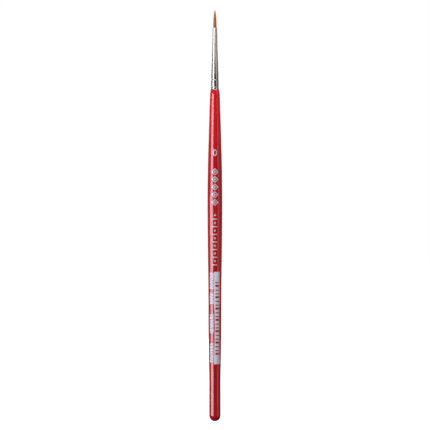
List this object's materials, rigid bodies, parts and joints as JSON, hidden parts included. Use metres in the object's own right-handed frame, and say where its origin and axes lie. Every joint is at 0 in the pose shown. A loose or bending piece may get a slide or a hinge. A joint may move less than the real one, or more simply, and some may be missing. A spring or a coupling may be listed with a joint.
{
  "type": "fine detail brush",
  "caption": "Slim round paint brush: lacquered barrel-shaped handle, crimped tapered metal ferrule and a short pointed tuft that bends.",
  "frame": {"origin": "end of the butt, on the brush's axis", "axes": "+Z along the brush from the butt to the tip of the tuft; the printed side faces -Y; +X is to the right of the print"},
  "size_m": [0.0062, 0.0063, 0.1727],
  "materials": {
    "bare_wood": "turned, unfinished",
    "red_lacquer": "deep gloss lacquer",
    "nickel_plate": "bright nickel plate on drawn brass",
    "glue": "cured glue",
    "thread": "twisted polyester thread",
    "resin": "cast resin",
    "filament": "satin tapered filaments",
    "white_foil": "matt silver-white foil",
    "pale_print": "matt pale ink"
  },
  "bodies": {
    "handle": {"handle_core": "bare_wood", "lacquer_coat": "red_lacquer", "ferrule": "nickel_plate", "tenon_glue": "glue", "binding_thread": "thread", "resin_plug": "resin", "tuft_root": "filament", "size_numeral": "white_foil", "lozenge_row": "white_foil", "bead_row": "white_foil", "striped_panel": "pale_print", "block_column": "pale_print"},
    "tuft_base": {"tuft_base": "filament"},
    "tuft_belly": {"tuft_belly": "filament"},
    "tuft_shoulder": {"tuft_shoulder": "filament"},
    "tuft_tip": {"tuft_tip": "filament"}
  },
  "joints": [
    {"name": "side_bend_base", "type": "hinge", "parent": "handle", "child": "tuft_base", "pos_m": [0, 0, 0.16565], "axis": [0, 1, 0], "range_deg": [-24, 24], "stiffness_Nm_per_rad": 0.0003},
    {"name": "front_bend_belly", "type": "hinge", "parent": "tuft_base", "child": "tuft_belly", "pos_m": [0, 0, 0.16742], "axis": [1, 0, 0], "range_deg": [-24, 24], "stiffness_Nm_per_rad": 0.0003},
    {"name": "side_bend_shoulder", "type": "hinge", "parent": "tuft_belly", "child": "tuft_shoulder", "pos_m": [0, 0, 0.1692], "axis": [0, 1, 0], "range_deg": [-24, 24], "stiffness_Nm_per_rad": 0.0003},
    {"name": "front_bend_tip", "type": "hinge", "parent": "tuft_shoulder", "child": "tuft_tip", "pos_m": [0, 0, 0.17097], "axis": [1, 0, 0], "range_deg": [-24, 24], "stiffness_Nm_per_rad": 0.0003}
  ]
}
